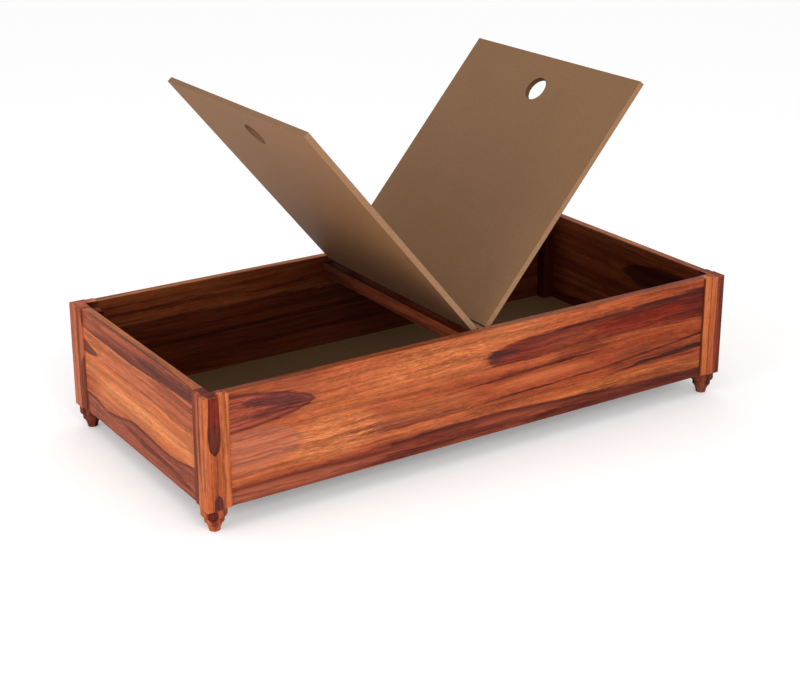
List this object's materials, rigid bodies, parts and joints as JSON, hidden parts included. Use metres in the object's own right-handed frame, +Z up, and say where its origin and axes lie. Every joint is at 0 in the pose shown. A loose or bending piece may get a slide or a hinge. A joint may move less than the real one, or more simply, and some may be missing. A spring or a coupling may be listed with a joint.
{
  "type": "storage divan bed",
  "caption": "Low single divan bed: a boxed hardwood frame on turned feet, open storage inside, and lids hinged on a middle rail that lift from both ends.",
  "frame": {"origin": "on the floor under the middle of the bed's footprint", "axes": "+X along the bed towards the right end in the picture, +Y from the front panel to the back panel, +Z up"},
  "size_m": [1.98, 0.966, 1.1395],
  "materials": {
    "sheesham": "satin lacquer over streaked reddish-brown sheesham",
    "lid_board": "plain brown fibre board, dull satin",
    "floor_board": "thin dull brown board",
    "batten_wood": "sawn sheesham, unpolished",
    "hinge_steel": "zinc-plated steel"
  },
  "bodies": {
    "bed_frame": {"post_front_left": "sheesham", "post_front_right": "sheesham", "post_back_right": "sheesham", "post_back_left": "sheesham", "foot_front_left": "sheesham", "foot_front_right": "sheesham", "foot_back_right": "sheesham", "foot_back_left": "sheesham", "front_panel": "sheesham", "back_panel": "sheesham", "left_end_panel": "sheesham", "right_end_panel": "sheesham", "centre_beam": "sheesham", "hinge_rail": "lid_board", "left_floor_board": "floor_board", "right_floor_board": "floor_board", "front_batten": "batten_wood", "back_batten": "batten_wood", "left_batten": "batten_wood", "right_batten": "batten_wood", "left_bearer": "batten_wood", "centre_bearer": "batten_wood", "right_bearer": "batten_wood", "left_hinge_front_rail_leaf": "hinge_steel", "left_hinge_front_pin": "hinge_steel", "left_hinge_middle_rail_leaf": "hinge_steel", "left_hinge_middle_pin": "hinge_steel", "left_hinge_back_rail_leaf": "hinge_steel", "left_hinge_back_pin": "hinge_steel", "right_hinge_front_rail_leaf": "hinge_steel", "right_hinge_front_pin": "hinge_steel", "right_hinge_middle_rail_leaf": "hinge_steel", "right_hinge_middle_pin": "hinge_steel", "right_hinge_back_rail_leaf": "hinge_steel", "right_hinge_back_pin": "hinge_steel"},
    "left_lid": {"left_lid": "lid_board", "left_hinge_front_lid_leaf": "hinge_steel", "left_hinge_middle_lid_leaf": "hinge_steel", "left_hinge_back_lid_leaf": "hinge_steel"},
    "right_lid": {"right_lid": "lid_board", "right_hinge_front_lid_leaf": "hinge_steel", "right_hinge_middle_lid_leaf": "hinge_steel", "right_hinge_back_lid_leaf": "hinge_steel"}
  },
  "joints": [
    {"name": "left_lid_hinge", "type": "hinge", "parent": "bed_frame", "child": "left_lid", "pos_m": [-0.0105, 0, 0.4325], "axis": [0, 1, 0], "range_deg": [-50, 40]},
    {"name": "right_lid_hinge", "type": "hinge", "parent": "bed_frame", "child": "right_lid", "pos_m": [0.0105, 0, 0.4325], "axis": [0, -1, 0], "range_deg": [-50, 40]}
  ]
}
